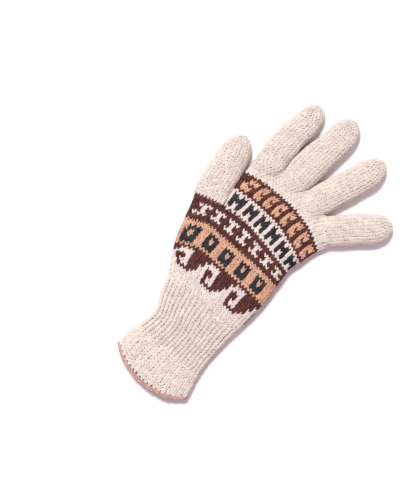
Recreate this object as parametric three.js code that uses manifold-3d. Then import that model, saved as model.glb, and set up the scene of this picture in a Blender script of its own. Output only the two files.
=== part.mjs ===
// A knitted wool glove with a patterned hand, lying flat with its fingers spread, in millimetres, +Z up.
// The fingers point along +Y, the cuff's mouth opens along -Y and the thumb lies on the -X side.
// Every piece is a hollow wall of thick knit. The underside is pressed flat where the glove lies.
import * as THREE from 'three';
import { mergeVertices } from 'three/addons/utils/BufferGeometryUtils.js';
import Module from 'manifold-3d';

const wasm = await Module();
wasm.setup();

// Driving sizes
const WALL = 2.6;            // thick single knit
const GAP = 0.3;             // between neighbouring pieces
const EDGING_DEPTH = 3.0;    // the bound-off edge, along the glove
const RIB_REPEAT = 3;        // two raised knit wales, then one sunk purl wale
const RIB_COUNT = 19;        // repeats round the wrist
const RIB_DEPTH = 1.0;       // how far a purl wale sinks
const RIB_FADE = 7.0;        // the ribs fade in over this length at each end
const TUBE_SIDES = 40;       // points round the cuff and hand
const FINGER_SIDES = 18;     // points round a finger
const COURSE_STEP = 10.0;    // between sections of the cuff and hand
const FINGER_STEP = 11.0;    // between sections of a finger
const TIP_LENGTH = 20.0;     // the rounded end of a finger
const TIP_RINGS = 5;
const TIP_POWER = 2.0;       // an ellipse
const CROWN_POWER = 2.3;     // the upper side of a section, a low dome
const UNDER_POWER = 3.6;     // the under side, flatter
const EDGE_HEIGHT = 0.42;    // the widest line, as a share of the height
const PRESSED = 0.7;         // how far the under side is pressed flat
const CUT_HEIGHT = 60;       // taller than the glove, for the cuts between pieces
const RUN_PAST = 2;          // a hollow runs past the wall's end by this much
const SMALLEST_PIECE = 500;  // cubic millimetres; a cut leaves chips smaller than this between two stalls
const OUTLINE_STEPS = 360;   // points of a section's outline before it is spaced out evenly

// The hand frame's origin is near the middle of the palm. The glove is centred on its footprint at the end.
// A course is one row of stitches: its left end, the top of its arc, its right end, and its height.

const COURSES = [
  { name: 'mouth', leftX: -22.8, leftY: -102.0, midY: -114.5, rightX: 53.6, rightY: -99.5, height: 14.0 },
  { name: 'cuff', leftX: -22.0, leftY: -90.0, midY: -95.0, rightX: 50.2, rightY: -87.5, height: 15.0 },
  { name: 'rib_start', leftX: -19.5, leftY: -79.0, midY: -80.0, rightX: 47.8, rightY: -77.5, height: 15.0 },
  { name: 'wrist', leftX: -16.8, leftY: -62.0, midY: -62.0, rightX: 46.4, rightY: -62.0, height: 14.5 },
  { name: 'rib_middle', leftX: -24.0, leftY: -45.0, midY: -44.5, rightX: 46.8, rightY: -44.0, height: 15.5 },
  { name: 'rib_end', leftX: -30.0, leftY: -29.0, midY: -27.8, rightX: 47.6, rightY: -27.5, height: 17.0 },
  { name: 'hook_band', leftX: -36.0, leftY: -19.0, midY: -17.0, rightX: 48.3, rightY: -18.0, height: 18.0 },
  { name: 'square_band', leftX: -43.0, leftY: -5.0, midY: 4.5, rightX: 48.8, rightY: 3.0, height: 19.5 },
  { name: 'cross_band', leftX: -51.0, leftY: 17.0, midY: 26.0, rightX: 47.3, rightY: 24.5, height: 20.5 },
  { name: 'thumb_row', leftX: -53.5, leftY: 27.0, midY: 36.5, rightX: 46.5, rightY: 32.0, height: 20.5 },
  { name: 'star_band', leftX: -32.0, leftY: 44.5, midY: 45.5, rightX: 46.5, rightY: 38.5, height: 20.0 },
  { name: 'block_band', leftX: -34.2, leftY: 64.0, midY: 64.3, rightX: 49.5, rightY: 56.5, height: 18.5 },
  { name: 'band_end', leftX: -36.5, leftY: 80.0, midY: 83.5, rightX: 54.5, rightY: 69.5, height: 16.5 },
  { name: 'knuckles', leftX: -38.3, leftY: 94.5, midY: 100.5, rightX: 57.0, rightY: 75.0, height: 11.5 },
];

// A stall's middle line in plan, from inside the hand to its tip, with its half width and height.
const STALLS = {
  thumb: [
    { x: -37.0, y: 18.0, halfWidth: 10.0, height: 13.0 },
    { x: -41.0, y: 28.0, halfWidth: 12.6, height: 16.5 },
    { x: -44.8, y: 38.5, halfWidth: 13.6, height: 17.5 },
    { x: -48.2, y: 52.0, halfWidth: 14.8, height: 17.5 },
    { x: -50.7, y: 66.0, halfWidth: 14.8, height: 17.5 },
    { x: -53.3, y: 80.0, halfWidth: 13.9, height: 17.0 },
    { x: -56.6, y: 102.0, halfWidth: 11.2, height: 16.0 },
  ],
  index_finger: [
    { x: -24.6, y: 82.0, halfWidth: 9.0, height: 12.0 },
    { x: -25.6, y: 99.0, halfWidth: 12.9, height: 15.5 },
    { x: -27.4, y: 112.0, halfWidth: 13.2, height: 16.5 },
    { x: -27.7, y: 125.0, halfWidth: 12.9, height: 16.5 },
    { x: -26.4, y: 142.0, halfWidth: 12.1, height: 16.0 },
    { x: -25.7, y: 163.5, halfWidth: 11.2, height: 15.5 },
  ],
  middle_finger: [
    { x: 0.0, y: 84.0, halfWidth: 9.0, height: 12.0 },
    { x: 0.0, y: 101.0, halfWidth: 12.8, height: 15.5 },
    { x: 0.3, y: 112.0, halfWidth: 14.3, height: 16.5 },
    { x: 1.3, y: 125.0, halfWidth: 14.3, height: 16.5 },
    { x: 4.3, y: 145.0, halfWidth: 13.2, height: 16.5 },
    { x: 6.2, y: 173.0, halfWidth: 12.4, height: 16.0 },
  ],
  ring_finger: [
    { x: 21.5, y: 82.0, halfWidth: 9.0, height: 12.0 },
    { x: 25.2, y: 98.0, halfWidth: 12.9, height: 15.5 },
    { x: 29.6, y: 110.0, halfWidth: 13.1, height: 16.5 },
    { x: 35.2, y: 125.0, halfWidth: 12.9, height: 16.5 },
    { x: 40.8, y: 142.0, halfWidth: 12.5, height: 16.5 },
    { x: 46.6, y: 163.5, halfWidth: 11.0, height: 15.5 },
  ],
  little_finger: [
    { x: 36.5, y: 74.0, halfWidth: 8.5, height: 11.5 },
    { x: 47.7, y: 85.5, halfWidth: 13.3, height: 15.0 },
    { x: 57.0, y: 94.8, halfWidth: 13.2, height: 16.0 },
    { x: 66.6, y: 104.3, halfWidth: 13.4, height: 16.0 },
    { x: 75.4, y: 112.6, halfWidth: 13.5, height: 16.0 },
    { x: 88.2, y: 126.8, halfWidth: 12.3, height: 15.5 },
  ],
};

// The points where two stalls part, and the lines in plan on which the pieces are cut from each other.
const THUMB_CROTCH = [-31.6, 45.6];
const INDEX_MIDDLE = [-12.6, 101.5];
const MIDDLE_RING = [12.8, 101.5];
const RING_LITTLE = [38.2, 95.2];
const CUTS = [
  { name: 'thumb_base', points: [[-66, 34.0], THUMB_CROTCH] },
  { name: 'thumb_side', points: [THUMB_CROTCH, [-34.8, 62], [-38.2, 80], [-41.5, 100]] },
  { name: 'finger_bases', points: [[-46, 96.0], INDEX_MIDDLE, MIDDLE_RING, RING_LITTLE, [63, 71.5]] },
  { name: 'index_side', points: [INDEX_MIDDLE, [-14.8, 116], [-14.2, 128], [-11.5, 146], [-10.5, 160]] },
  { name: 'middle_side', points: [MIDDLE_RING, [15.8, 116], [20.5, 132]] },
  { name: 'ring_side', points: [RING_LITTLE, [47, 110]] },
];

const COLOURS = { cream: 0xe8dccf, tan: 0xd39a6a };
const ROUGHNESS = 0.95;

// Smooth values between the rows of a table, without overshoot. The key column rises from row to row.
function track(rows, key, column) {
  const at = rows.map((row) => row[key]);
  const value = rows.map((row) => row[column]);
  const slope = at.slice(1).map((a, i) => (value[i + 1] - value[i]) / (a - at[i]));
  const tangent = at.map((_, i) => {
    const before = slope[i - 1] ?? slope[i];
    const after = slope[i] ?? slope[i - 1];
    if (before * after <= 0) return 0;
    return (2 * before * after) / (before + after);
  });
  return (a) => {
    let i = at.length - 2;
    while (i > 0 && a < at[i]) i -= 1;
    const width = at[i + 1] - at[i];
    const s = (a - at[i]) / width;
    const rise = value[i + 1] - value[i];
    const first = tangent[i] * width;
    const last = tangent[i + 1] * width;
    return value[i] + s * first + s * s * (3 * rise - 2 * first - last)
      + s * s * s * (first + last - 2 * rise);
  };
}

// The outline of a section, as [across, up] points evenly spaced round it from the right edge over the top.
// An inset section is the hollow inside a wall of that thickness.
function section(halfWidth, height, sides, inset = 0) {
  const wide = halfWidth - inset;
  const tall = height - 2 * inset;
  const edge = tall * EDGE_HEIGHT;
  const fine = [];
  for (let i = 0; i <= OUTLINE_STEPS; i += 1) {
    const angle = (2 * Math.PI * i) / OUTLINE_STEPS;
    const across = wide * Math.cos(angle);
    const share = Math.abs(Math.cos(angle));
    const crown = (1 - share ** CROWN_POWER) ** (1 / CROWN_POWER);
    const under = (1 - share ** UNDER_POWER) ** (1 / UNDER_POWER);
    const up = Math.sin(angle) >= 0
      ? edge + (tall - edge) * crown
      : Math.max(0, edge - (edge + PRESSED) * under);
    fine.push(new THREE.Vector2(across, inset + up));
  }
  const along = [0];
  for (let i = 1; i <= OUTLINE_STEPS; i += 1) along.push(along[i - 1] + fine[i].distanceTo(fine[i - 1]));
  const points = [];
  let i = 0;
  for (let n = 0; n < sides; n += 1) {
    const wanted = (along.at(-1) * n) / sides;
    while (along[i + 1] < wanted) i += 1;
    const part = (wanted - along[i]) / (along[i + 1] - along[i]);
    points.push(fine[i].clone().lerp(fine[i + 1], part));
  }
  return points;
}

const courseTrack = Object.fromEntries(
  ['leftX', 'leftY', 'rightX', 'rightY', 'height'].map((column) => [column, track(COURSES, 'midY', column)]),
);

// One ring of points round the cuff or hand, on the course whose arc tops at midY.
function courseRing(midY, sides, inset = 0, sink = () => 0) {
  const leftX = courseTrack.leftX(midY);
  const rightX = courseTrack.rightX(midY);
  const leftY = courseTrack.leftY(midY);
  const rightY = courseTrack.rightY(midY);
  const halfWidth = (rightX - leftX) / 2;
  const height = courseTrack.height(midY);
  const rise = midY - (leftY + rightY) / 2;
  return section(halfWidth, height, sides, inset).map((point, n) => {
    const deeper = sink(n) / halfWidth;
    const across = (point.x / halfWidth) * (1 - deeper);
    const up = height / 2 + (point.y - height / 2) * (1 - (2 * sink(n)) / height);
    const x = (leftX + rightX) / 2 + across * halfWidth;
    const y = (leftY + rightY) / 2 + (across * (rightY - leftY)) / 2 + rise * (1 - across * across);
    return new THREE.Vector3(x, y, point.y < height / 2 ? Math.max(point.y, inset) : up);
  });
}

function courseRings(from, to, sides, inset = 0, step = COURSE_STEP) {
  const count = Math.max(1, Math.round((to - from) / step));
  const rise = (to - from) / count;
  return Array.from({ length: count + 1 }, (_, i) => courseRing(from + rise * i, sides, inset));
}

// The rings of points along a thumb or finger, from its root inside the hand to its tip.
function stallRings(rows, inset = 0) {
  let along = 0;
  const stations = rows.map((row, i) => {
    if (i) along += Math.hypot(row.x - rows[i - 1].x, row.y - rows[i - 1].y);
    return { ...row, along };
  });
  const middles = rows.map((row) => new THREE.Vector3(row.x, row.y, 0));
  const path = new THREE.CatmullRomCurve3(middles, false, 'centripetal');
  const halfWidth = track(stations, 'along', 'halfWidth');
  const height = track(stations, 'along', 'height');
  const length = along - inset;
  const tip = TIP_LENGTH - inset;
  const straight = Math.round((length - tip) / FINGER_STEP);
  const step = (length - tip) / straight;
  const places = Array.from({ length: straight + 1 }, (_, i) => ({ at: step * i, size: 1 }));
  for (let i = 1; i < TIP_RINGS; i += 1) {
    const part = Math.sin((Math.PI / 2) * (i / TIP_RINGS));
    places.push({ at: length - tip + tip * part, size: (1 - part ** TIP_POWER) ** (1 / TIP_POWER) });
  }
  return places.map(({ at, size }) => {
    const share = Math.min(1, at / along);
    const middle = path.getPointAt(share);
    const ahead = path.getTangentAt(share);
    const right = new THREE.Vector3(ahead.y, -ahead.x, 0).normalize();
    const tall = height(at);
    const edge = inset + (tall - 2 * inset) * EDGE_HEIGHT;
    return section(halfWidth(at), tall, FINGER_SIDES, inset).map((point) => {
      const place = new THREE.Vector3(middle.x, middle.y, edge + (point.y - edge) * size);
      return place.addScaledVector(right, point.x * size);
    });
  });
}

// A lathe's mesh wrapped over rings of points: row j of its profile takes the places of ring j.
function wrapped(rings) {
  const sides = rings[0].length;
  const profile = rings.map((_, j) => new THREE.Vector2(1, j));
  const geometry = new THREE.LatheGeometry(profile, sides);
  const position = geometry.attributes.position;
  for (let n = 0; n <= sides; n += 1) {
    rings.forEach((ring, j) => position.setXYZ(n * rings.length + j, ...ring[n % sides].toArray()));
  }
  return outwards(bare(geometry));
}

// A closed solid through rings of points. Its ends are flat.
function loft(rings) {
  const capped = (ring) => {
    const middle = ring.reduce((sum, point) => sum.add(point), new THREE.Vector3()).divideScalar(ring.length);
    return ring.map(() => middle);
  };
  return wrapped([capped(rings[0]), ...rings, capped(rings.at(-1))]);
}

// A closed wall between two sets of rings, open at both ends.
function tube(outer, inner) {
  return wrapped([...outer, ...inner.toReversed(), outer[0]]);
}

// Only the positions, with shared corners merged and the flat triangles at a lathe's poles left out.
function bare(geometry) {
  geometry.deleteAttribute('normal');
  geometry.deleteAttribute('uv');
  const merged = mergeVertices(geometry);
  const index = merged.index.array;
  const kept = [];
  for (let i = 0; i < index.length; i += 3) {
    const corners = [index[i], index[i + 1], index[i + 2]];
    if (new Set(corners).size === corners.length) kept.push(...corners);
  }
  merged.setIndex(kept);
  return merged;
}

// Turns a closed geometry right side out where its winding encloses a negative volume.
function outwards(geometry) {
  const index = geometry.index.array;
  const position = geometry.attributes.position;
  const corner = (i) => new THREE.Vector3().fromBufferAttribute(position, index[i]);
  let volume = 0;
  for (let i = 0; i < index.length; i += 3) {
    volume += corner(i).dot(corner(i + 1).cross(corner(i + 2)));
  }
  if (volume < 0) {
    for (let i = 0; i < index.length; i += 3) [index[i], index[i + 1]] = [index[i + 1], index[i]];
  }
  return geometry;
}

function solid(geometry) {
  return new wasm.Manifold(new wasm.Mesh({
    numProp: 3,
    vertProperties: new Float32Array(geometry.attributes.position.array),
    triVerts: new Uint32Array(geometry.index.array),
  }));
}

function asGeometry(manifold) {
  const mesh = manifold.getMesh();
  const geometry = new THREE.BufferGeometry();
  geometry.setAttribute('position', new THREE.BufferAttribute(new Float32Array(mesh.vertProperties), 3));
  geometry.setIndex(new THREE.BufferAttribute(new Uint32Array(mesh.triVerts), 1));
  return geometry;
}

// A thin upright wall along a line in plan, which cuts the pieces apart.
function cutWall(points) {
  return points.slice(1).map((end, i) => {
    const start = points[i];
    const length = Math.hypot(end[0] - start[0], end[1] - start[1]);
    const box = new THREE.BoxGeometry(length + GAP, GAP, CUT_HEIGHT);
    box.rotateZ(Math.atan2(end[1] - start[1], end[0] - start[0]));
    box.translate((start[0] + end[0]) / 2, (start[1] + end[1]) / 2, 0);
    return solid(bare(box));
  }).reduce((all, one) => all.add(one));
}

const course = Object.fromEntries(COURSES.map((row) => [row.name, row.midY]));

// The bound-off edge and the cuff are plain tubes along the first courses.
function plainTube(from, to) {
  return tube(courseRings(from, to, TUBE_SIDES), courseRings(from, to, TUBE_SIDES, WALL));
}

function makeEdging() {
  return plainTube(course.mouth, course.mouth + EDGING_DEPTH - GAP);
}

function makeCuff() {
  return plainTube(course.mouth + EDGING_DEPTH, course.rib_start);
}

// The ribbed wrist has one point round its section for each wale, and every third wale sinks.
function makeWrist() {
  const sides = RIB_COUNT * RIB_REPEAT;
  const from = course.rib_start + GAP;
  const to = course.rib_end;
  const count = Math.round((to - from) / RIB_FADE);
  const rings = (inset, ribbed) => Array.from({ length: count + 1 }, (_, i) => {
    const midY = from + ((to - from) * i) / count;
    const fade = Math.min(1, (midY - from) / RIB_FADE, (to - midY) / RIB_FADE);
    const sink = (n) => (ribbed && n % RIB_REPEAT === 1 ? RIB_DEPTH * fade : 0);
    return courseRing(midY, sides, inset, sink);
  });
  return tube(rings(0, true), rings(WALL, false));
}

// The hand, thumb and fingers are one shell, cut into its pieces where the stalls start.
function makeHandPieces() {
  const from = course.rib_end + GAP;
  const knuckles = course.knuckles;
  let outside = solid(loft(courseRings(from, knuckles, TUBE_SIDES)));
  let inside = solid(loft(courseRings(from - RUN_PAST, knuckles - WALL, TUBE_SIDES, WALL)));
  for (const rows of Object.values(STALLS)) {
    outside = outside.add(solid(loft(stallRings(rows))));
    inside = inside.add(solid(loft(stallRings(rows, WALL))));
  }
  let shell = outside.subtract(inside);
  for (const cut of CUTS) shell = shell.subtract(cutWall(cut.points));
  const parts = shell.decompose().filter((part) => part.volume() > SMALLEST_PIECE);
  const pieces = {};
  for (const part of parts) {
    const box = part.boundingBox();
    const low = new THREE.Vector3(...box.min);
    const high = new THREE.Vector3(...box.max);
    const tipOf = Object.entries(STALLS).find(([, rows]) => {
      const tip = rows.at(-2);
      return tip.x > low.x && tip.x < high.x && tip.y > low.y && tip.y < high.y && low.y > 0;
    });
    pieces[tipOf ? tipOf[0] : 'hand'] = asGeometry(part);
  }
  return pieces;
}

const glove = new THREE.Group();

function addPiece(name, geometry, colour) {
  const color = COLOURS[colour];
  const material = new THREE.MeshStandardMaterial({ color, roughness: ROUGHNESS, metalness: 0 });
  const mesh = new THREE.Mesh(geometry, material);

  mesh.name = name;
  glove.add(mesh);
}

addPiece('cuff_edging', makeEdging(), 'tan');
addPiece('cuff', makeCuff(), 'cream');
addPiece('wrist_rib', makeWrist(), 'cream');
for (const [name, geometry] of Object.entries(makeHandPieces())) addPiece(name, geometry, 'cream');

// The origin is at the middle of the glove's footprint, on the surface that it lies on.
const bounds = new THREE.Box3().setFromObject(glove);
const middle = bounds.getCenter(new THREE.Vector3());
glove.position.set(-middle.x, -middle.y, -bounds.min.z);

export default glove;
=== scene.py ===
"""A hand-knitted wool glove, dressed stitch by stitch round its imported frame.

Each piece is a thin hollow cloth with a looped length of yarn on it for every stitch, and loose fibres on
the yarn. The hand's coloured bands follow small charts, one letter for a stitch. Tables are in millimetres,
objects in metres.
"""
import math
from functools import partial
from typing import NamedTuple

import bmesh
import bpy
import numpy as np
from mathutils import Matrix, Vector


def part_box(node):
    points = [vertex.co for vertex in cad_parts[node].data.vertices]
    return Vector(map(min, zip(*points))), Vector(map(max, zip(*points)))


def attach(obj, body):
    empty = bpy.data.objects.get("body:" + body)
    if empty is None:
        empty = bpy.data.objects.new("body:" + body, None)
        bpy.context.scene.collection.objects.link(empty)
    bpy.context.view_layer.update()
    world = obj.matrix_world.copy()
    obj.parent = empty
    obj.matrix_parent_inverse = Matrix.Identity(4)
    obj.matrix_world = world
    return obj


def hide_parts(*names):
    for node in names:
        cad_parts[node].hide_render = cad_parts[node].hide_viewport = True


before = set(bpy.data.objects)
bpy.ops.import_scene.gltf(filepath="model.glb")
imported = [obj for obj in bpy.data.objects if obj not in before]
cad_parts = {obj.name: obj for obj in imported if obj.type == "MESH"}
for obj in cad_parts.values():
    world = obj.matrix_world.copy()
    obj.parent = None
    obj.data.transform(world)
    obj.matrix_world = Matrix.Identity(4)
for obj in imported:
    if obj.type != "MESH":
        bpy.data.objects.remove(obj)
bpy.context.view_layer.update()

MM = 0.001

# The section of the glove, the same shape as the solids', but with slightly blunter tips
CROWN_POWER = 2.3        # the upper side, a low dome
UNDER_POWER = 3.6        # the under side, flatter
EDGE_HEIGHT = 0.42       # the widest line, as a share of the height
PRESSED = 0.7            # how far the under side is pressed flat
OUTLINE_POINTS = 181
TIP_LENGTH = 18.5        # over this length a stall closes
TIP_POWER = 2.1
TIP_RADIUS = 11.0        # a stall's mean radius, for spacing the rows over its tip
TIP_POINTS = 60
LINE_POINTS = 120        # along a stall's middle line
AHEAD = 0.5              # half the step over which that line's direction is measured
TINY = 1e-9              # keeps a division from being by zero
LAST_CELL = 1.001        # keeps a place on a sheet's last row in the cell before it
TEMPLATE_WELD = 1e-4
CLOTH_WELD = 1e-6        # in metres

# The cloth: its sheets are sampled more finely than the stitches
CLOTH_INSET = 1.25       # from the solids' surface in to the middle of the stitches
CLOTH_TOP = -0.45        # the cloth under the stitches, from their middle
CLOTH_BACK = -1.55
CLOTH_ROW = 2.6          # the size of the cloth's faces, along the tube and round it
CLOTH_COLUMN = 3.4
FEWEST_COLUMNS = 16
FLOOR_CLEAR = 0.02       # nothing lies lower over the table
SHEET_STEP = 1.1
SHEET_HALF = 110         # columns over a sheet's upper side, and as many below

# Slow waves in the loose cloth: for each, its turn in radians for a millimetre of x and of y, and its start.
# The first two are multiplied, and a share of the third is added.
LOFT_WAVES = [(0.21, 0.09, 1.3), (-0.05, 0.17, 0.0), (0.11, -0.29, 0.0)]
THIRD_WAVE = 0.6
LOFT = 0.5
LOFT_FROM = 4.0          # the height at which the waves start, and how much higher they are full
LOFT_RISE = 6.0

# Past the parting, the thumb and the upper hand rise from the lower hand's height
BLEND = 13.0             # over this length
NEAR_PARTING = 25.0      # the lower hand's rows past this one give the height
POINT_REACH = 1.5        # how far each of their points counts
EDGE_SHARE = 0.08        # a sheet's two edges keep their own height over this share of it

# The yarn
YARN_RADIUS = 0.74
YARN_SIDES = 5
LOOP_DEPTH = 0.5         # legs stand proud of the middle and heads sink behind it
PLAIN_WIDTH = 3.2        # a stitch this wide has yarn of the full thickness
THICKNESS = (0.64, 1.18)     # the least and the most of it, in narrow and in wide stitches
UNEVEN = 0.06            # hand tension: a stitch strays by this share of its size
DEPTH_STRAY = 0.05       # and this far out of the cloth
THICK_AND_THIN = 0.05    # hand spinning: a stitch's yarn strays by this share of its radius
PLY_LENGTH = 4.2         # one turn of the two plies
STITCH_LENGTH = 10.0     # yarn in a stitch
FIBRES = 5.5             # loose fibres for each stitch
FIBRE_LENGTH = 2.2
FIBRE_SHARES = (0.4, 1.4)    # the shortest and the longest, of that length
FIBRE_RADIUS = 0.05
FIBRE_SIDES = 3
FIBRE_ROOT = 0.8         # they start at this share of the yarn's radius
FIBRE_OUTWARD = 0.6      # how far they lean out of the cloth, against their spread to all sides

# The yarn's look
DRIFT_SCALE = 260.0      # noise scales: its colour drifts from stitch to stitch and from fibre to fibre
FIBRE_SCALE = 2600.0
DRIFT_RANGE = (0.7, 1.3)     # of the two noises' sum
WOOL_ROUGHNESS = 0.92
WOOL_SPECULAR = 0.2
SHEEN = 0.35
SHEEN_ROUGHNESS = 0.6
PLY_HEIGHT = 0.15        # how far its plies and its hairs stand out
PLY_STRENGTH = 0.5
HAIR_HEIGHT = 0.2
HAIR_STRENGTH = 0.6

# The bake map has a tile for each stitch in its lower part and the cloth above them
TILES_HEIGHT = 0.8
TILE_MARGIN = 0.08
TILE_FILLED = 0.84
CLOTH_FROM = 0.82
CLOTH_HEIGHT = 0.17
BEHIND = 2               # the Yarn map's height from which it marks the outer cloth, which takes the painted shade

# Half of a stitch as yarn, from its left foot up the left leg to the middle of its head: along the course in
# stitches, up the wale in rows, and out of the cloth as a share of the depth. The right half mirrors it.
HALF_LOOP = [
    (0.00, -0.84, -1.0),
    (0.36, -0.70, -0.3),
    (0.44, -0.32, 0.8),
    (0.26, 0.18, 1.0),
    (0.07, 0.66, 0.3),
    (0.50, 0.92, -1.0),
]
# Half of a chain stitch of the bound-off edge, lying along it. The other half mirrors it below.
HALF_CHAIN = [
    (0.00, 0.00, -0.7),
    (0.12, 0.26, 0.1),
    (0.45, 0.40, 0.7),
    (0.85, 0.36, 0.6),
    (1.15, 0.22, 0.0),
    (1.25, 0.00, -0.7),
]
YARN_STEPS = 2 * len(HALF_LOOP) - 2


class Course(NamedTuple):
    """One row of stitches across the upper side: its y at five even places, its two ends and the glove's
    thickness there. It is called by its middle."""

    left_x: float
    left_y: float
    near_left_y: float
    mid_y: float
    near_right_y: float
    right_y: float
    right_x: float
    height: float


FIVE_PLACES = (-1.0, -0.5, 0.0, 0.5, 1.0)
LOWER_COURSES = [Course(*row) for row in (
    (-22.8, -102.0, -112.2, -114.5, -111.2, -99.5, 53.6, 14.0),
    (-22.0, -90.0, -93.8, -95.0, -93.4, -87.5, 50.2, 15.0),
    (-19.5, -79.0, -79.8, -80.0, -79.5, -77.5, 47.8, 15.0),
    (-16.8, -62.0, -62.0, -62.0, -62.0, -62.0, 46.4, 14.5),
    (-24.0, -45.0, -44.6, -44.5, -44.4, -44.0, 46.8, 15.5),
    (-30.0, -29.0, -28.1, -27.8, -28.0, -28.5, 47.6, 17.0),
    (-35.7, -18.5, -17.7, -18.1, -18.8, -19.5, 48.3, 18.0),
    (-42.6, -6.0, 3.8, 3.9, 4.0, 2.0, 48.8, 19.5),
    (-50.3, 16.0, 24.6, 24.2, 24.2, 22.8, 47.3, 20.5),
    (-57.0, 36.0, 43.3, 45.6, 42.0, 37.0, 46.4, 19.5),
    (-59.5, 41.0, 48.2, 50.6, 46.8, 41.8, 46.6, 19.0),
    (-62.0, 50.5, 57.7, 60.0, 56.2, 51.2, 47.0, 18.5),
)]
UPPER_COURSES = [Course(*row) for row in (
    (-32.0, 36.0, 38.8, 36.8, 33.8, 30.4, 46.4, 20.3),
    (-33.2, 43.4, 46.2, 44.2, 41.0, 37.0, 46.4, 20.0),
    (-35.6, 62.0, 63.2, 63.0, 58.2, 50.5, 49.0, 18.5),
    (-37.2, 78.0, 81.6, 82.0, 78.4, 68.0, 54.3, 16.0),
    (-38.7, 96.5, 100.8, 101.5, 97.0, 84.0, 66.0, 9.5),
    (-39.2, 103.0, 107.4, 108.2, 103.5, 90.0, 71.0, 7.0),
)]
LOWER_REACH = (-117.0, 60.0)    # a sheet's first and last row
UPPER_REACH = (38.0, 107.0)
MOUTH = LOWER_COURSES[0]
RIB_END = LOWER_COURSES[5]
PARTING = LOWER_COURSES[9]      # where the thumb and the upper hand part from the lower hand

# A stall's middle line from inside the hand to its tip: x, y, half width, height
STALLS = {
    "thumb": [
        (-37.0, 18.0, 10.0, 13.0),
        (-41.0, 28.0, 12.6, 16.5),
        (-44.8, 38.5, 13.6, 17.5),
        (-48.2, 52.0, 15.0, 17.5),
        (-50.7, 66.0, 15.0, 17.5),
        (-53.3, 80.0, 13.9, 17.0),
        (-56.6, 102.0, 11.2, 16.0),
    ],
    "index_finger": [
        (-24.6, 82.0, 9.0, 12.0),
        (-25.6, 99.0, 12.9, 15.5),
        (-27.4, 112.0, 13.4, 16.5),
        (-27.4, 125.0, 12.9, 16.5),
        (-25.6, 142.0, 12.1, 16.0),
        (-24.7, 163.0, 11.2, 15.5),
    ],
    "middle_finger": [
        (0.0, 84.0, 9.0, 12.0),
        (0.0, 101.0, 12.8, 15.5),
        (0.3, 112.0, 14.5, 16.5),
        (1.3, 125.0, 14.3, 16.5),
        (4.3, 145.0, 13.2, 16.5),
        (6.2, 173.0, 12.4, 16.0),
    ],
    "ring_finger": [
        (21.5, 82.0, 9.0, 12.0),
        (25.2, 98.0, 12.9, 15.5),
        (29.6, 110.0, 13.3, 16.5),
        (35.5, 125.0, 12.9, 16.5),
        (41.6, 142.0, 12.7, 16.5),
        (47.4, 163.0, 11.3, 15.5),
    ],
    "little_finger": [
        (36.5, 74.0, 8.5, 11.5),
        (47.7, 85.5, 13.3, 15.0),
        (57.0, 94.8, 13.2, 16.0),
        (66.6, 104.3, 13.4, 16.0),
        (75.4, 112.6, 13.5, 16.0),
        (88.2, 126.8, 12.3, 15.5),
    ],
}
FINGERS = list(STALLS)[1:]
# Where a stall's own courses start, along its middle line
STALL_STARTS = {
    "thumb": 12.0,
    "index_finger": 15.8,
    "middle_finger": 16.0,
    "ring_finger": 15.8,
    "little_finger": 15.2,
}
# How many stitches go round it
STALL_STITCHES = {
    "thumb": 23,
    "index_finger": 21,
    "middle_finger": 23,
    "ring_finger": 22,
    "little_finger": 22,
}
STALL_ROW = 2.45
STALL_WIDEST = 20.0      # from its start to where its full width is taken
STALL_FULL = 0.9         # on its lower half, and while it is wider than this share, it keeps all its stitches
STALL_EASE = 0.1         # past that it keeps this share more than its width asks for
FEWEST_STITCHES = 5      # drawn together at a tip
FINGER_OVERLAP = 0.4     # of a course, by which the hand's stitches run on past a finger's start
THUMB_GAP = 0.3          # of a course, from the parting to the thumb's first stitches

# The line in plan where the hand ends and its fingers start
FINGER_BASES = [(-60.0, 93.0), (-12.6, 100.5), (12.6, 101.0), (38.4, 95.5), (63.0, 72.0)]

# Colour charts, top row first, one letter a stitch: c cream, w white, b brown, t tan, k charcoal.
# A chart starts at the right edge of the hand and runs to the left, then on round the palm.
CHARTS = {
    "hook_band": [
        "bbbbbbbb",
        "bbbbbwww",
        "wbbbbwww",
        "wbbbbwbb",
        "wwbbbwbb",
        "wwbbbwwb",
        "wwwbbwwb",
        "wwwwbbbb",
    ],
    "square_band": [
        "ttttt",
        "ttttt",
        "kkttk",
        "tkttk",
        "tkttk",
        "kkttk",
        "kkttk",
        "ttttt",
    ],
    "cross_band": [
        "bbbb",
        "bbbb",
        "wbww",
        "bbbw",
        "bbbw",
        "wbww",
        "bbbb",
        "bbbb",
    ],
    "star_band": [
        "wwww",
        "wkwk",
        "wkkk",
        "wkkk",
        "wkwk",
        "wkwk",
        "wwww",
    ],
    "block_band": [
        "bbb",
        "tbt",
        "tbt",
        "tbb",
        "tbt",
        "tbt",
        "bbb",
    ],
}
# How many stitches of a chart lie past the right edge
CHART_SHIFTS = {"hook_band": 0, "square_band": 1, "cross_band": 1, "star_band": 1, "block_band": 2}
# How many stitches at the right edge take the colour of the next one
ROUND_STARTS = {"square_band": 1}
# The colour of the last stitch at the thumb's edge
ROUND_ENDS = {"cross_band": "b", "block_band": "b"}

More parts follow.
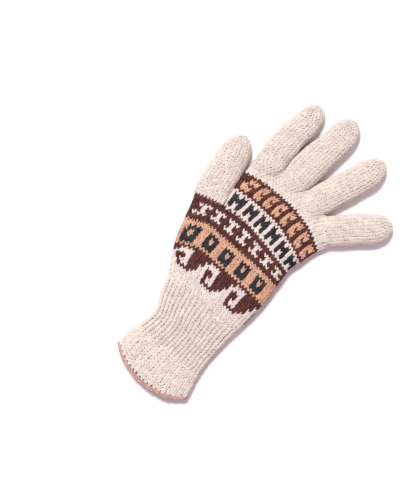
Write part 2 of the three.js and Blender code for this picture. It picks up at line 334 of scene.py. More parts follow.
# Rings of rows round the glove: name, sheet, node, slot, first and last course by their middles, and rows
BANDS = [
    ("edging_chain", "lower", "cuff_edging", "tan_wool", -114.5, -111.9, 1),
    ("cuff_knit", "lower", "cuff", "cream_wool", -112.0, -80.0, 10),
    ("rib_knit", "lower", "wrist_rib", "cream_wool", -80.0, -28.0, 18),
    ("heel_knit", "lower", "hand", "cream_wool", -28.0, -18.1, 4),
    ("hook_band", "lower", "hand", "patterned_wool", -18.1, 3.9, 8),
    ("square_band", "lower", "hand", "patterned_wool", 3.9, 24.2, 8),
    ("cross_band", "lower", "hand", "patterned_wool", 24.2, 45.6, 8),
    ("star_band", "upper", "hand", "patterned_wool", 44.2, 63.0, 7),
    ("block_band", "upper", "hand", "patterned_wool", 63.0, 82.0, 7),
    ("knuckle_knit", "upper", "hand", "cream_wool", 82.0, 106.5, 10),
]
# Up the hand: a course by its middle, how wide its stitches are, and how far its wales have drifted to the
# left of the right edge, in stitches. Wales come in at the thumb's edge as the hand grows.
HAND_WALES = [
    (-28.0, 3.07, 0.50),
    (-17.0, 3.30, 0.50),
    (-6.0, 3.48, 0.48),
    (4.0, 3.55, 0.20),
    (14.0, 3.55, 0.00),
    (26.0, 3.48, 0.00),
    (35.0, 3.42, 0.05),
    (46.0, 3.36, 0.30),
    (54.0, 3.33, 0.42),
    (64.0, 3.37, 0.60),
    (73.0, 3.42, 0.75),
    (83.0, 3.30, 0.75),
    (108.0, 3.20, 0.75),
]
EDGE_WALES = 4           # the wales at the thumb's edge that take up the odd width
FEWER_WALES = {"star_band": 1, "block_band": 1}      # wales left out at the thumb's edge
CHAIN_STITCHES = 58
CUFF_WALES = 37
RIB = (2.6, 1.05)        # a knit wale and a purl one, which closes up; a pair for each wale of the cuff
RIB_SINK = 0.65          # how far a purl wale lies behind
RIB_DRIFT = 0.42         # of a pair, to the left of the right edge
RIB_FADE = (-83.0, -76.0, -40.0, -27.0)     # the courses where the ribbing starts, is full, thins and ends

# Each yarn by its letter: name, mean sRGB colour, and the share by which the heather strays from it
YARNS = {
    "c": ("cream_wool_yarn", "#EADED4", 0.17),
    "w": ("white_wool_yarn", "#EBDED7", 0.14),
    "b": ("brown_wool_yarn", "#5E3834", 0.60),
    "t": ("tan_wool_yarn", "#DDAE91", 0.40),
    "k": ("charcoal_wool_yarn", "#393539", 0.75),
    "p": ("pale_tan_wool_yarn", "#C9A59A", 0.35),
}
YARN_FULLNESS = {"k": 1.22, "w": 1.05, "b": 1.1, "t": 0.93}      # a yarn's thickness against the cream one's
CHAIN_FULLNESS = 1.45
LETTERS = "".join(YARNS)
PAINTED_SHADE = (0.34, 0.29, 0.29, 1.0)      # painted shade: what is left of a yarn's colour on the outer cloth, deep between the stitches

# The camera looks straight down, turned so that the glove leans as it does in the photograph.
LEAN = math.radians(41.4)
VIEW_CENTRE = (-25.7, 7.3)      # the middle of the photograph
VIEW_LONG_SIDE = 414.0          # its long side at the glove's mid height
MID_HEIGHT = 9.0
LENS = 100.0
SENSOR = 36.0
CAMERA_REACH = 20               # metres

# The studio: a white paper floor, a far light and the surround. Places and sizes are in metres.
FLOOR_HALF = 20
PAPER = "#FBFAFC"
PAPER_ROUGHNESS = 0.9
LIGHT_PLACE = (-0.70, 0.40, 1.45)
LIGHT_ANGLE = 12.0              # degrees
LIGHT_STRENGTH = 2.7
LIGHT_COLOUR = (0.95, 1.0, 0.97)
SURROUND = "#FFE8F4"
SURROUND_STRENGTH = 0.50


# Curves and sections

def smooth_curve(at, value):
    """A curve through these points that never overshoots them."""
    at = np.asarray(at, float)
    value = np.asarray(value, float)
    slope = np.diff(value) / np.diff(at)
    before = np.concatenate([slope[:1], slope])
    after = np.concatenate([slope, slope[-1:]])
    total = np.where(before + after == 0, 1, before + after)
    tangent = np.where(before * after > 0, 2 * before * after / total, 0)

    def curve(a):
        a = np.asarray(a, float)
        i = np.clip(np.searchsorted(at, a, side="right") - 1, 0, len(at) - 2)
        width = at[i + 1] - at[i]
        s = (a - at[i]) / width
        rise = value[i + 1] - value[i]
        first = tangent[i] * width
        last = tangent[i + 1] * width
        return value[i] + s * first + s**2 * (3 * rise - 2 * first - last) + s**3 * (first + last - 2 * rise)

    return curve


def superellipse(share, power):
    return np.maximum(0, 1 - np.minimum(1, np.abs(share)) ** power) ** (1 / power)


def smooth_step(share):
    share = np.clip(share, 0, 1)
    return share**2 * (3 - 2 * share)


def evenly(points, count):
    """The same line with its points evenly spaced, and its length."""
    steps = np.linalg.norm(np.diff(points, axis=0), axis=1)
    along = np.concatenate([[0], np.cumsum(steps)])
    wanted = np.linspace(0, along[-1], count)
    columns = [np.interp(wanted, along, points[:, i]) for i in range(points.shape[1])]
    return np.stack(columns, axis=1), along[-1]


def ring_outline(half_width, height):
    """A section of the cloth, across and up, from the right edge over the top and back below, and the length
    of its top."""
    angle = np.linspace(0, math.pi, OUTLINE_POINTS)
    wide = half_width - CLOTH_INSET
    tall = height - 2 * CLOTH_INSET
    edge = tall * EDGE_HEIGHT
    across = wide * np.cos(angle)
    crown = edge + (tall - edge) * superellipse(np.cos(angle), CROWN_POWER)
    under = np.maximum(0, edge - (edge + PRESSED) * superellipse(np.cos(angle), UNDER_POWER))
    top, length = evenly(np.stack([across, crown], axis=1), SHEET_HALF + 1)
    bottom, _ = evenly(np.stack([across, under], axis=1)[::-1], SHEET_HALF + 1)
    return np.vstack([top, bottom[1:]]) + [0, CLOTH_INSET], length


def course_line(course):
    """A course's y as a curve of x."""
    middle = (course.left_x + course.right_x) / 2
    places = middle + np.array(FIVE_PLACES) * (course.right_x - course.left_x) / 2
    five = [course.left_y, course.near_left_y, course.mid_y, course.near_right_y, course.right_y]
    return smooth_curve(places, five)


# Sheets: the cloth's surface as a grid of points

class Sheet:
    """A tube of cloth. Its rows step along the glove, and its columns run round from 0 at the right edge over
    the top to 1 at the left edge and on below to 2."""

    def __init__(self, rows, points, top_lengths):
        self.rows = rows
        self.points = points
        self.top_lengths = top_lengths
        closed = np.concatenate([points[:, -2:-1], points, points[:, 1:2]], axis=1)
        normals = np.cross(np.gradient(points, axis=0), closed[:, 2:] - closed[:, :-2])
        self.normals = normals / np.maximum(TINY, np.linalg.norm(normals, axis=2, keepdims=True))

    def top_length(self, row):
        return np.interp(row, self.rows, self.top_lengths)

    def sample(self, column, row):
        """The points and normals at these places, between the grid's own."""
        step = self.rows[1] - self.rows[0]
        y = np.clip((row - self.rows[0]) / step, 0, len(self.rows) - LAST_CELL)
        x = np.mod(column, 2) * SHEET_HALF
        i = np.floor(y).astype(int)
        j = np.clip(np.floor(x).astype(int), 0, 2 * SHEET_HALF - 1)
        y = (y - i)[..., None]
        x = (x - j)[..., None]
        found = []
        for grid in (self.points, self.normals):
            low = grid[i, j] * (1 - x) + grid[i, j + 1] * x
            high = grid[i + 1, j] * (1 - x) + grid[i + 1, j + 1] * x
            found.append(low * (1 - y) + high * y)
        return found[0], found[1] / np.linalg.norm(found[1], axis=-1, keepdims=True)


def stall_line(rows):
    """A stall's length, and its middle line and sizes as curves along it."""
    places = np.array([row[:2] for row in rows], float)
    along = np.concatenate([[0], np.cumsum(np.linalg.norm(np.diff(places, axis=0), axis=1))])
    return along[-1], [smooth_curve(along, column) for column in np.array(rows, float).T]


def near_stall(rows, x, y):
    """For points in plan: how far along a stall they lie, how far aside as a share of its half width, and its
    height there."""
    length, (line_x, line_y, half_width, height) = stall_line(rows)
    along = np.linspace(0, length, LINE_POINTS)
    gap = np.hypot(line_x(along) - x[..., None], line_y(along) - y[..., None])
    nearest = along[gap.argmin(axis=-1)]
    return nearest, gap.min(axis=-1) / (half_width(nearest) - CLOTH_INSET), height(nearest)


def stall_height(rows, x, y):
    """The height of a stall's upper side over points in plan, or 0 outside it."""
    along, aside, height = near_stall(rows, x, y)
    tall = height - 2 * CLOTH_INSET
    edge = tall * EDGE_HEIGHT
    up = CLOTH_INSET + edge + (tall - edge) * superellipse(aside, CROWN_POWER)
    return np.where((aside < 1) & (along > 0), up, 0)


def add_loft(points):
    """Slow waves in a cloth that lies loose, on the upper side only, since the table flattens the lower."""
    x, y, z = points[..., 0], points[..., 1], points[..., 2]
    waves = [np.sin(x * turn_x + y * turn_y + start) for turn_x, turn_y, start in LOFT_WAVES]
    wave = waves[0] * waves[1] + THIRD_WAVE * waves[2]
    points[..., 2] = z + LOFT * wave * np.clip((z - LOFT_FROM) / LOFT_RISE, 0, 1)


def course_grid(table, reach):
    """The rows of a sheet between the courses of a table, their points and the lengths of their tops."""
    rows = np.arange(reach[0], reach[1] + SHEET_STEP, SHEET_STEP)
    middles = [course.mid_y for course in table]
    curves = [smooth_curve(middles, values)(rows) for values in zip(*table)]
    points = np.zeros((len(rows), 2 * SHEET_HALF + 1, 3))
    lengths = np.zeros(len(rows))
    for i, values in enumerate(zip(*curves)):
        course = Course(*values)
        outline, lengths[i] = ring_outline((course.right_x - course.left_x) / 2, course.height)
        points[i, :, 0] = (course.left_x + course.right_x) / 2 + outline[:, 0]
        points[i, :, 1] = course_line(course)(points[i, :, 0])
        points[i, :, 2] = outline[:, 1]
    return rows, points, lengths


def rise_from_hand(points, lower):
    """Near the parting, lifts a sheet's upper side to the height that the lower hand has there."""
    top = points[:, :SHEET_HALF + 1]
    past = top[..., 1] - course_line(PARTING)(top[..., 0])
    rows = np.flatnonzero((past < BLEND).any(axis=1))
    near = lower.points[lower.rows > NEAR_PARTING, :SHEET_HALF + 1][:, ::2].reshape(-1, 3)
    column = np.linspace(0, 1, SHEET_HALF + 1)
    middle = smooth_step(np.minimum(column, 1 - column) / EDGE_SHARE)
    for i in rows:
        gap = np.hypot(near[:, 0] - top[i, :, 0, None], near[:, 1] - top[i, :, 1, None])
        weight = np.exp(-(gap / POINT_REACH) ** 2) + TINY
        height = (weight * near[:, 2]).sum(axis=1) / weight.sum(axis=1)
        top[i, :, 2] += (height - top[i, :, 2]) * smooth_step(1 - past[i] / BLEND) * middle


def lower_sheet():
    rows, points, lengths = course_grid(LOWER_COURSES, LOWER_REACH)
    add_loft(points)
    return Sheet(rows, points, lengths)


def upper_sheet(lower):
    """The hand above the thumb. Near the fingers its cloth rises over the roots of the four stalls and dips
    between them."""
    rows, points, lengths = course_grid(UPPER_COURSES, UPPER_REACH)
    top = points[:, :SHEET_HALF + 1]
    for name in FINGERS:
        top[..., 2] = np.maximum(top[..., 2], stall_height(STALLS[name], top[..., 0], top[..., 1]))
    add_loft(points)
    rise_from_hand(points, lower)
    return Sheet(rows, points, lengths)


def stall_rows(length):
    """A stall's rows, numbered by their way over the cloth so that they stay even at the tip. With them, how
    far along the middle line each lies, and its size there as the tip closes."""
    reach = length - CLOTH_INSET
    tip = TIP_LENGTH - CLOTH_INSET
    turn = np.sin(np.linspace(0, math.pi / 2, TIP_POINTS))
    along = np.concatenate([np.linspace(0, reach - tip, LINE_POINTS)[:-1], reach - tip + tip * turn])
    size = np.concatenate([np.ones(LINE_POINTS - 1), superellipse(turn, TIP_POWER)])
    way = np.concatenate([[0], np.cumsum(np.hypot(np.diff(along), TIP_RADIUS * np.diff(size)))])
    rows = np.linspace(0, way[-1], round(way[-1] / SHEET_STEP) + 1)
    return rows, np.interp(rows, way, along), np.interp(rows, way, size)


def stall_sheet(name, lower):
    """A thumb's or finger's tube."""
    length, (line_x, line_y, half_width, height) = stall_line(STALLS[name])
    rows, along, size = stall_rows(length)
    before, after = along - AHEAD, along + AHEAD
    ahead = np.stack([line_x(after) - line_x(before), line_y(after) - line_y(before)], axis=1)
    ahead /= np.linalg.norm(ahead, axis=1, keepdims=True)
    points = np.zeros((len(rows), 2 * SHEET_HALF + 1, 3))
    lengths = np.zeros(len(rows))
    for i, place in enumerate(along):
        tall = float(height(place))
        outline, lengths[i] = ring_outline(float(half_width(place)), tall)
        edge = CLOTH_INSET + (tall - 2 * CLOTH_INSET) * EDGE_HEIGHT
        points[i, :, 0] = line_x(place) + ahead[i, 1] * outline[:, 0] * size[i]
        points[i, :, 1] = line_y(place) - ahead[i, 0] * outline[:, 0] * size[i]
        points[i, :, 2] = edge + (outline[:, 1] - edge) * size[i]
        lengths[i] *= size[i]
    add_loft(points)
    if name == "thumb":
        rise_from_hand(points, lower)
    return Sheet(rows, points, lengths)


# Stitches

class Stitch(NamedTuple):
    """A place on a sheet, from one column to another about a row, with its height and its yarn's letter."""

    first: float
    last: float
    row: float
    tall: float
    letter: str
    purl: int = 0
    sink: float = 0.0
    chain: int = 0


def column_of(stitches, name):
    return np.array([getattr(one, name) for one in stitches], float)


def wale_edges(top_length, pitch, drift, fewer):
    """Where one side's stitches part, from the right edge to the thumb's edge, as shares of the way over."""
    count = math.floor(top_length / pitch - drift) - fewer
    edges = (np.arange(count + 1) + drift) * pitch / top_length
    edges[-EDGE_WALES - 1:] = np.linspace(edges[-EDGE_WALES - 1], 1, EDGE_WALES + 1)
    return edges


def hand_course(name, sheet, row, tall, letters):
    """One course round the hand. Its chart runs on from the back round the right edge to the palm."""
    at, pitches, drifts = zip(*HAND_WALES)
    pitch = float(smooth_curve(at, pitches)(row))
    drift = float(smooth_curve(at, drifts)(row))
    fewer, shift, start = (table.get(name, 0) for table in (FEWER_WALES, CHART_SHIFTS, ROUND_STARTS))
    back = wale_edges(sheet.top_length(row), pitch, drift, fewer)
    palm = 2 - wale_edges(sheet.top_length(row), pitch, -drift, fewer)
    stitches = []
    for wale in range(len(back) - 1):
        letter = letters[(max(wale, start) + shift) % len(letters)]
        if wale == len(back) - 2:
            letter = ROUND_ENDS.get(name, letter)
        stitches.append(Stitch(back[wale], back[wale + 1], row, tall, letter))
    for wale in range(len(palm) - 1):
        letter = letters[(shift - 1 - wale) % len(letters)]
        stitches.append(Stitch(palm[wale + 1], palm[wale], row, tall, letter))
    return stitches


def even_course(row, tall, count, letter, start=0.0, chain=0):
    """One course of equal stitches all round, from a column that lies a little past the right edge."""
    edges = np.linspace(0, 2, count + 1) + start
    return [Stitch(edges[i], edges[i + 1], row, tall, letter, chain=chain) for i in range(count)]


def rib_course(row, tall):
    """One course of the wrist. Its purl wales are narrow and sunk, and less so towards its ends."""
    start, full, thinning, end = RIB_FADE
    ribbed = float(smooth_step((row - start) / (full - start)) * smooth_step((end - row) / (end - thinning)))
    stitches = []
    for pair in range(CUFF_WALES):
        at = np.array([0, RIB[0], sum(RIB)]) / sum(RIB)
        edges = (pair + RIB_DRIFT + at) * 2 / CUFF_WALES
        stitches.append(Stitch(edges[0], edges[1], row, tall, "c"))
        stitches.append(Stitch(edges[1], edges[2], row, tall, "c", purl=1, sink=RIB_SINK * ribbed))
    return stitches


def band_stitches(name, sheet, first, last, rows):
    """All the stitches of a ring. The cuff's wales run up into the middles of the rib's knit wales."""
    tall = (last - first) / rows
    cuff_start = (RIB_DRIFT - RIB[1] / sum(RIB) / 2) * 2 / CUFF_WALES
    stitches = []
    for i in range(rows):
        row = first + (i + 0.5) * tall
        if name == "edging_chain":
            stitches += even_course(row, tall, CHAIN_STITCHES, "p", chain=1)
        elif name == "cuff_knit":
            stitches += even_course(row, tall, CUFF_WALES, "c", cuff_start)
        elif name == "rib_knit":
            stitches += rib_course(row, tall)
        else:
            chart = CHARTS.get(name, ["c"])
            stitches += hand_course(name, sheet, row, tall, chart[-1 - i % len(chart)])
    return stitches


def stitch_middles(sheet, stitches):
    column = (column_of(stitches, "first") + column_of(stitches, "last")) / 2
    return sheet.sample(column, column_of(stitches, "row"))[0]


def past_bases(points):
    """How far points lie past the line of the fingers' bases."""
    base_x, base_y = zip(*FINGER_BASES)
    return points[..., 1] - np.interp(points[..., 0], base_x, base_y)


def hand_ends(sheet, columns):
    """The row at which the hand's cloth ends between the fingers, for each column."""
    ended = past_bases(sheet.sample(columns[:, None], sheet.rows[None])[0]) > 0
    return np.where(ended.any(axis=1), sheet.rows[ended.argmax(axis=1)], sheet.rows[-1])


def before_fingers(sheet, stitches):
    """Leaves out the hand's stitches past the fingers' bases, where the fingers' own courses have started."""
    middle = stitch_middles(sheet, stitches)
    kept = past_bases(middle) < 0
    for name in FINGERS:
        along, aside, _ = near_stall(STALLS[name], middle[:, 0], middle[:, 1])
        kept &= (along < STALL_STARTS[name] + FINGER_OVERLAP * STALL_ROW) | (aside > 1)
    return [one for one, keep in zip(stitches, kept) if keep]


def past_parting(sheet, stitches):
    """Leaves out the thumb's stitches that would lie under the lower hand's last course."""
    middle = stitch_middles(sheet, stitches)
    kept = middle[:, 1] > course_line(PARTING)(middle[:, 0]) + THUMB_GAP * STALL_ROW
    return [one for one, keep in zip(stitches, kept) if keep]


def stall_stitches(name, sheet):
    """Courses from the stall's base to its tip, where stitches are knitted together as it narrows."""
    start = STALL_STARTS[name]
    rows = round((sheet.rows[-1] - start) / STALL_ROW)
    tall = (sheet.rows[-1] - start) / rows
    full = STALL_STITCHES[name]
    widest = sheet.top_length(start + STALL_WIDEST)
    stitches = []
    for i in range(rows):
        row = start + (i + 0.5) * tall
        share = float(sheet.top_length(row) / widest)
        count = full
        if share <= STALL_FULL and i >= rows / 2:
            count = max(FEWEST_STITCHES, round(full * (share + STALL_EASE)))
        stitches += even_course(row, tall, count, "c", start=1 / full)
    return past_parting(sheet, stitches) if name == "thumb" else stitches


# Yarn

def tube_template(steps, sides, pointed=False):
    """A closed tube, one long. Each corner of its faces carries its step along it and its turn round it."""
    bm = bmesh.new()
    uv = bm.loops.layers.uv.new("Yarn")
    bmesh.ops.create_grid(bm, x_segments=steps, y_segments=sides, size=0.5)
    for face in bm.faces:
        for loop in face.loops:
            loop[uv].uv = (loop.vert.co.x + 0.5, loop.vert.co.y + 0.5)
    for vert in bm.verts:
        angle = 2 * math.pi * (vert.co.y + 0.5)
        radius = 0.5 - vert.co.x if pointed else 1
        vert.co.y = math.cos(angle) * radius
        vert.co.z = math.sin(angle) * radius
    bmesh.ops.remove_doubles(bm, verts=bm.verts, dist=TEMPLATE_WELD)
    if not pointed:
        bmesh.ops.holes_fill(bm, edges=bm.edges, sides=sides)
    bmesh.ops.recalc_face_normals(bm, faces=bm.faces)
    bm.verts.index_update()
    verts = np.array([vert.co for vert in bm.verts])
    faces = [[vert.index for vert in face.verts] for face in bm.faces]
    turns = [[tuple(loop[uv].uv) for loop in face.loops] for face in bm.faces]
    bm.free()
    return verts, faces, np.concatenate([np.array(turn, float) for turn in turns])


def yarn_lines(sheet, stitches, rng):
    """The middle line of every stitch's yarn, the normals under it and its radius."""
    first, last, row, tall = (column_of(stitches, name)[:, None] for name in ("first", "last", "row", "tall"))
    purl, sink, chain = (column_of(stitches, name)[:, None] for name in ("purl", "sink", "chain"))
    loop = np.array(HALF_LOOP + [(1 - a, up, out) for a, up, out in HALF_LOOP[-2::-1]])
    link = np.array(HALF_CHAIN + [(a, -up, out) for a, up, out in HALF_CHAIN[-2::-1]])
    along, up, out = (np.where(chain > 0, link[:, i], loop[:, i]) for i in range(3))
    column = first + (last - first) * (along + rng.normal(0, UNEVEN, row.shape))
    height = row + tall * (up + rng.normal(0, UNEVEN, row.shape))
    line, normal = sheet.sample(column, height)
    depth = np.where(purl > 0, -1, 1) * out * LOOP_DEPTH - sink + rng.normal(0, DEPTH_STRAY, row.shape)
    left, _ = sheet.sample(first, row)
    right, _ = sheet.sample(last, row)
    width = np.linalg.norm(right - left, axis=2)
    radius = YARN_RADIUS * np.clip(width / PLAIN_WIDTH, *THICKNESS) * rng.normal(1, THICK_AND_THIN, row.shape)
    fullness = np.array([YARN_FULLNESS.get(one.letter, 1) for one in stitches])[:, None]
    radius = radius * fullness * np.where(chain > 0, CHAIN_FULLNESS, 1)
    return line + normal * depth[..., None], normal, radius


def tube_axes(line, normal):
    """Across and outward axes along lines of yarn."""
    ahead = np.gradient(line, axis=1)
    ahead /= np.maximum(TINY, np.linalg.norm(ahead, axis=2, keepdims=True))
    side = np.cross(ahead, normal)
    side /= np.maximum(TINY, np.linalg.norm(side, axis=2, keepdims=True))
    return side, np.cross(side, ahead)


def tubes(line, side, outward, radius, template):
    """Each tube's corners: the template bent along its line."""
    verts = template[0]
    step = np.rint((verts[:, 0] + 0.5) * (line.shape[1] - 1)).astype(int)
    around = side[:, step] * verts[:, 1, None] + outward[:, step] * verts[:, 2, None]
    places = line[:, step] + radius[..., None] * around
    places[..., 2] = np.maximum(places[..., 2], FLOOR_CLEAR)
    return places


def stitch_tiles(count):
    """The corner of every stitch's tile in the bake map, and the tiles' size."""
    across = math.ceil(math.sqrt(count))
    corner = np.stack([np.arange(count) % across, np.arange(count) // across * TILES_HEIGHT], axis=1) / across
    return corner, np.array([1, TILES_HEIGHT]) / across


def joined_mesh(name, places, template, letters, bake, yarn):
    """Many bodies of one template as one mesh, with their yarns' colours and their two maps."""
    _, faces, _ = template
    count, size = places.shape[:2]
    corners = np.concatenate([np.array(face) for face in faces])
    starts = np.concatenate([[0], np.cumsum([len(face) for face in faces])[:-1]])
    bodies = np.arange(count)[:, None]
    mesh = bpy.data.meshes.new(name)
    mesh.vertices.add(count * size)
    mesh.loops.add(count * len(corners))
    mesh.polygons.add(count * len(faces))
    mesh.vertices.foreach_set("co", (row_frame(places.reshape(-1, 3)) * MM).ravel())
    mesh.loops.foreach_set("vertex_index", (corners + size * bodies).ravel())
    mesh.polygons.foreach_set("loop_start", (starts + len(corners) * bodies).ravel())
    mesh.polygons.foreach_set("material_index", np.repeat(letters, len(faces)))
    mesh.update(calc_edges=True)
    mesh.uv_layers.new(name="OFBake").data.foreach_set("uv", bake.ravel())
    mesh.uv_layers.new(name="Yarn").data.foreach_set("uv", yarn.ravel())
    return mesh


def fibre_lines(line, outward, radius, rng):
    """Loose fibres as short lines, and the stitch and the step along its yarn that each starts from."""
    chosen = rng.integers(0, len(line), round(FIBRES * len(line)))
    step = rng.integers(1, YARN_STEPS, len(chosen))
    root = line[chosen, step] + outward[chosen, step] * FIBRE_ROOT * radius[chosen]
    reach = outward[chosen, step] * FIBRE_OUTWARD + rng.normal(0, 1, root.shape)
    share = rng.uniform(*FIBRE_SHARES, (len(chosen), 1))
    reach *= FIBRE_LENGTH * share / np.linalg.norm(reach, axis=1, keepdims=True)
    return np.stack([root, root + reach], axis=1), chosen


def yarn_meshes(name, sheet, stitches, rng):
    """All the stitches of a piece as one mesh, and the loose fibres on them as another."""
    line, normal, radius = yarn_lines(sheet, stitches, rng)
    side, outward = tube_axes(line, normal)
    letters = np.array([LETTERS.index(one.letter) for one in stitches])
    corner, tile = stitch_tiles(len(stitches))
    turns = STITCH_TEMPLATE[2]
    bake = corner[:, None] + (TILE_MARGIN + TILE_FILLED * turns) * tile
    phase = rng.random((len(stitches), 1))
    own = np.stack([turns[:, 0] * STITCH_LENGTH / PLY_LENGTH + phase, turns[:, 1] + 0 * phase], axis=2)
    places = tubes(line, side, outward, radius, STITCH_TEMPLATE)
    loops = joined_mesh(name + "_loops", places, STITCH_TEMPLATE, letters, bake, own)

    fibre, chosen = fibre_lines(line, outward, radius, rng)
    fibre_side, fibre_out = tube_axes(fibre, normal[chosen][:, :2])
    places = tubes(fibre, fibre_side, fibre_out, np.full((len(chosen), 1), FIBRE_RADIUS), FIBRE_TEMPLATE)
    shape = (len(chosen), len(FIBRE_TEMPLATE[2]), 2)
    bake = np.broadcast_to((corner[chosen] + 0.5 * tile)[:, None], shape)
    fuzz = joined_mesh(name + "_fuzz", places, FIBRE_TEMPLATE, letters[chosen], bake, np.zeros(shape))
    return [loops, fuzz]


def row_frame(points):
    """Table places to the row's frame, still in millimetres."""
    return points - [TABLE_X, TABLE_Y, 0]


def letter_finder(stitches):
    """Which yarn lies over a place on the sheet: that of the nearest stitch in the nearest course."""
    rows = np.array(sorted({one.row for one in stitches}))
    courses = {row: [one for one in stitches if one.row == row] for row in rows}

    def letter_at(column, row):
        course = courses[rows[np.abs(rows - row).argmin()]]
        middles = np.array([(one.first + one.last) / 2 for one in course])
        apart = np.abs((middles - column + 1) % 2 - 1)
        return course[apart.argmin()].letter

    return letter_at


def map_cloth(bm, letter_at, first, last, rows, columns):
    """Gives the faces of the flat grid their yarns and their two maps."""
    bake = bm.loops.layers.uv.new("OFBake")
    own = bm.loops.layers.uv.new("Yarn")
    around = 2 * rows + 2
    for face in bm.faces:
        middle = face.calc_center_median()
        step = (middle.y + 0.5) * around
        share = min(1, step / rows) if step < rows + 1 else max(0, (around - 1 - step) / rows)
        face.material_index = LETTERS.index(letter_at((middle.x + 0.5) * 2, first + (last - first) * share))
        for loop in face.loops:
            x, y = loop.vert.co.x + 0.5, loop.vert.co.y + 0.5
            loop[bake].uv = (x, CLOTH_FROM + CLOTH_HEIGHT * y)
            # the outer layer's Yarn map lies from BEHIND up, which marks it for painted shade
            loop[own].uv = (x * columns, BEHIND + y if step < rows else y)


def cloth_mesh(name, sheet, stitches, first, last, ends):
    """The thin hollow cloth behind the stitches: a grid rolled up twice, out along the tube and back inside
    it. Its outer layer's colour carries painted shade, for the shade deep between the stitches."""
    rows = max(1, round((last - first) / CLOTH_ROW))
    widest = float(np.max(sheet.top_length(np.array([first, (first + last) / 2]))))
    columns = max(FEWEST_COLUMNS, round(widest * 2 / CLOTH_COLUMN))
    around = 2 * rows + 2
    bm = bmesh.new()
    bmesh.ops.create_grid(bm, x_segments=columns, y_segments=around, size=0.5)
    map_cloth(bm, letter_finder(stitches), first, last, rows, columns)
    flat = np.array([vert.co for vert in bm.verts]) + 0.5
    step = np.rint(flat[:, 1] * around).astype(int) % around
    outside = step <= rows
    share = np.where(outside, step, around - 1 - step) / rows
    column = flat[:, 0] * 2
    row = np.minimum(first + (last - first) * share, ends(column))
    places, normals = sheet.sample(column, row)
    places = places + normals * np.where(outside, CLOTH_TOP, CLOTH_BACK)[:, None]
    places[:, 2] = np.maximum(places[:, 2], FLOOR_CLEAR)
    for vert, place in zip(bm.verts, row_frame(places) * MM):
        vert.co = place
    bmesh.ops.remove_doubles(bm, verts=bm.verts, dist=CLOTH_WELD)
    bmesh.ops.recalc_face_normals(bm, faces=bm.faces)
    mesh = bpy.data.meshes.new(name + "_cloth")
    bm.to_mesh(mesh)
    bm.free()
    return mesh


def no_end(columns):
    """For a piece whose cloth goes on to its last row."""
    return np.inf


def knit_piece(name, sheet, stitches, first, last, node, seed, ends=no_end):
    """A piece of the glove: its cloth, its stitches and its fibres in one mesh, standing for its node."""
    rng = np.random.default_rng(seed)
    bm = bmesh.new()
    parts = [cloth_mesh(name, sheet, stitches, first, last, ends)] + yarn_meshes(name, sheet, stitches, rng)
    for part in parts:
        bm.from_mesh(part)
        bpy.data.meshes.remove(part)
    mesh = bpy.data.meshes.new(name)
    bm.to_mesh(mesh)
    bm.free()
    mesh.shade_smooth()
    for letter in LETTERS:
        mesh.materials.append(YARN_MATERIALS[letter])
    piece = bpy.data.objects.new(name, mesh)
    bpy.context.scene.collection.objects.link(piece)
    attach(piece, "root")
    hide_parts(node)


def knit_glove():
    lower = lower_sheet()
    sheets = {"lower": lower, "upper": upper_sheet(lower)}
    for seed, (name, sheet_name, node, slot, first, last, rows) in enumerate(BANDS):
        sheet = sheets[sheet_name]
        stitches = band_stitches(name, sheet, first, last, rows)
        ends = no_end
        if name == "knuckle_knit":
            stitches = before_fingers(sheet, stitches)
            ends = partial(hand_ends, sheet)
        knit_piece(name, sheet, stitches, first, last, node, seed, ends)
    for seed, name in enumerate(STALLS, len(BANDS)):
        sheet = stall_sheet(name, lower)
        stitches = stall_stitches(name, sheet)
        first, last = STALL_STARTS[name], sheet.rows[-1]
        knit_piece(name + "_knit", sheet, stitches, first, last, name, seed)


# Materials

# The sockets of a mix node's two colours and of its result
MIX_A = 6
MIX_B = 7
MIXED = 2


def linear(hex_colour):
    """An sRGB hex value as linear red, green, blue and alpha."""
    values = [int(hex_colour[i:i + 2], 16) / 255 for i in (1, 3, 5)]
    return tuple(v / 12.92 if v <= 0.04045 else ((v + 0.055) / 1.055) ** 2.4 for v in values) + (1.0,)


def add_node(tree, kind, links=(), inputs=(), **settings):
    """Adds a node with its settings, its inputs' values and its links, each a pair of socket and input."""
    node = tree.nodes.new(kind)
    for key, value in settings.items():
        setattr(node, key, value)
    for key, value in inputs:
        node.inputs[key].default_value = value
    for source, target in links:
        tree.links.new(source, node.inputs[target])
    return node


def heathered_colour(tree, place, fibres, parts, colour, heather):
    """A colour that drifts from stitch to stitch and fibre to fibre, and darker with painted shade on the
    outer cloth behind them.
    """
    grain = [("Scale", DRIFT_SCALE), ("Detail", 3.0)]
    drift = add_node(tree, "ShaderNodeTexNoise", [(place, "Vector")], grain)
    noises = [(drift.outputs["Fac"], 0), (fibres.outputs["Fac"], 1)]
    both = add_node(tree, "ShaderNodeMath", noises, operation="ADD")
    limits = [("From Min", DRIFT_RANGE[0]), ("From Max", DRIFT_RANGE[1])]
    share = add_node(tree, "ShaderNodeMapRange", [(both.outputs[0], "Value")], limits)
    dark = tuple(c * (1 - heather) for c in colour[:3]) + (1.0,)
    light = tuple(min(1.0, c * (1 + heather)) for c in colour[:3]) + (1.0,)
    shades = [(MIX_A, dark), (MIX_B, light)]
    mix = add_node(tree, "ShaderNodeMix", [(share.outputs["Result"], 0)], shades, data_type="RGBA")
    # painted shade: the outer cloth's colour, marked by its Yarn map's height, is multiplied darker
    map_height = [(parts.outputs["Y"], 0)]
    behind = add_node(tree, "ShaderNodeMath", map_height, [(1, BEHIND - 0.5)], operation="GREATER_THAN")
    layers = [(behind.outputs[0], 0), (mix.outputs[MIXED], MIX_A)]
    shade = [(MIX_B, PAINTED_SHADE)]
    shaded = add_node(tree, "ShaderNodeMix", layers, shade, data_type="RGBA", blend_type="MULTIPLY")
    return shaded.outputs[MIXED]


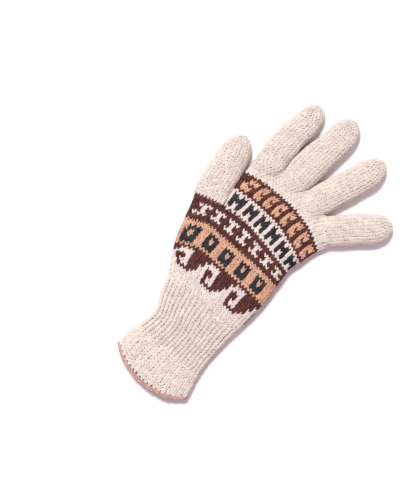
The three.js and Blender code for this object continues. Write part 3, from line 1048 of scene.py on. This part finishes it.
def plied_surface(tree, fibres, parts):
    """A low ridge for each of the two plies winding round the yarn, with the fibres' hairs on them."""
    both_turns = [(parts.outputs["X"], 0), (parts.outputs["Y"], 1)]
    turns = add_node(tree, "ShaderNodeMath", both_turns, operation="ADD")
    two_ridges = [(1, 2 * 2 * math.pi)]
    angle = add_node(tree, "ShaderNodeMath", [(turns.outputs[0], 0)], two_ridges, operation="MULTIPLY")
    ridge = add_node(tree, "ShaderNodeMath", [(angle.outputs[0], 0)], operation="SINE")
    plies = [("Strength", PLY_STRENGTH), ("Distance", PLY_HEIGHT * MM)]
    ply = add_node(tree, "ShaderNodeBump", [(ridge.outputs[0], "Height")], plies)
    hairs = [("Strength", HAIR_STRENGTH), ("Distance", HAIR_HEIGHT * MM)]
    fuzz = [(fibres.outputs["Fac"], "Height"), (ply.outputs["Normal"], "Normal")]
    return add_node(tree, "ShaderNodeBump", fuzz, hairs).outputs["Normal"]


def yarn_material(letter):
    """Two-ply carded wool, hand spun: matt, with a soft sheen of loose fibres."""
    name, colour_hex, heather = YARNS[letter]
    material = bpy.data.materials.new(name)
    material.use_nodes = True
    tree = material.node_tree
    shader = tree.nodes["Principled BSDF"]
    colour = linear(colour_hex)
    shader.inputs["Roughness"].default_value = WOOL_ROUGHNESS
    shader.inputs["Specular IOR Level"].default_value = WOOL_SPECULAR
    shader.inputs["Sheen Weight"].default_value = SHEEN
    shader.inputs["Sheen Roughness"].default_value = SHEEN_ROUGHNESS
    shader.inputs["Sheen Tint"].default_value = colour
    place = add_node(tree, "ShaderNodeTexCoord").outputs["Object"]
    grain = [("Scale", FIBRE_SCALE), ("Detail", 2.0)]
    fibres = add_node(tree, "ShaderNodeTexNoise", [(place, "Vector")], grain)
    own = add_node(tree, "ShaderNodeUVMap", uv_map="Yarn")
    parts = add_node(tree, "ShaderNodeSeparateXYZ", [(own.outputs["UV"], "Vector")])
    mixed = heathered_colour(tree, place, fibres, parts, colour, heather)
    tree.links.new(mixed, shader.inputs["Base Color"])
    tree.links.new(plied_surface(tree, fibres, parts), shader.inputs["Normal"])
    return material


# Camera, floor and light

def make_camera():
    data = bpy.data.cameras.new("overhead_camera")
    data.lens = LENS
    data.sensor_width = SENSOR
    data.clip_end = CAMERA_REACH
    camera = bpy.data.objects.new("overhead_camera", data)
    away = VIEW_LONG_SIDE * LENS / SENSOR
    camera.location = row_frame(np.array([*VIEW_CENTRE, MID_HEIGHT + away])) * MM
    camera.rotation_euler = (0, 0, LEAN)
    bpy.context.scene.collection.objects.link(camera)
    bpy.context.scene.camera = camera


def far_light(name, place, angle, strength, colour):
    """A light so far off that it falls evenly on the whole floor. Its angle in degrees makes shadows soft."""
    data = bpy.data.lights.new(name, "SUN")
    data.angle = math.radians(angle)
    data.energy = strength
    data.color = colour
    light = bpy.data.objects.new(name, data)
    light.location = place
    light.rotation_mode = "QUATERNION"
    light.rotation_quaternion = (-light.location).to_track_quat("-Z", "Y")
    bpy.context.scene.collection.objects.link(light)


def make_floor():
    bm = bmesh.new()
    bmesh.ops.create_grid(bm, x_segments=1, y_segments=1, size=FLOOR_HALF)
    mesh = bpy.data.meshes.new("floor")
    bm.to_mesh(mesh)
    bm.free()
    paper = bpy.data.materials.new("white_paper")
    paper.use_nodes = True
    shader = paper.node_tree.nodes["Principled BSDF"]
    shader.inputs["Base Color"].default_value = linear(PAPER)
    shader.inputs["Roughness"].default_value = PAPER_ROUGHNESS
    mesh.materials.append(paper)
    floor = bpy.data.objects.new("floor", mesh)
    bpy.context.scene.collection.objects.link(floor)


def make_surround():
    """A pale and even sky, in colours shown as they are."""
    world = bpy.data.worlds.new("studio")
    world.use_nodes = True
    background = world.node_tree.nodes["Background"]
    background.inputs["Color"].default_value = linear(SURROUND)
    background.inputs["Strength"].default_value = SURROUND_STRENGTH
    bpy.context.scene.world = world
    bpy.context.scene.view_settings.view_transform = "Standard"


# The tables' origin in the row's frame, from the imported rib's left end and the edging's lower end
TABLE_X = RIB_END.left_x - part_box("wrist_rib")[0].x / MM
TABLE_Y = MOUTH.mid_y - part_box("cuff_edging")[0].y / MM
STITCH_TEMPLATE = tube_template(YARN_STEPS, YARN_SIDES)
FIBRE_TEMPLATE = tube_template(1, FIBRE_SIDES, pointed=True)
YARN_MATERIALS = {letter: yarn_material(letter) for letter in LETTERS}

make_camera()
make_floor()
far_light("key_light", LIGHT_PLACE, LIGHT_ANGLE, LIGHT_STRENGTH, LIGHT_COLOUR)
make_surround()
knit_glove()
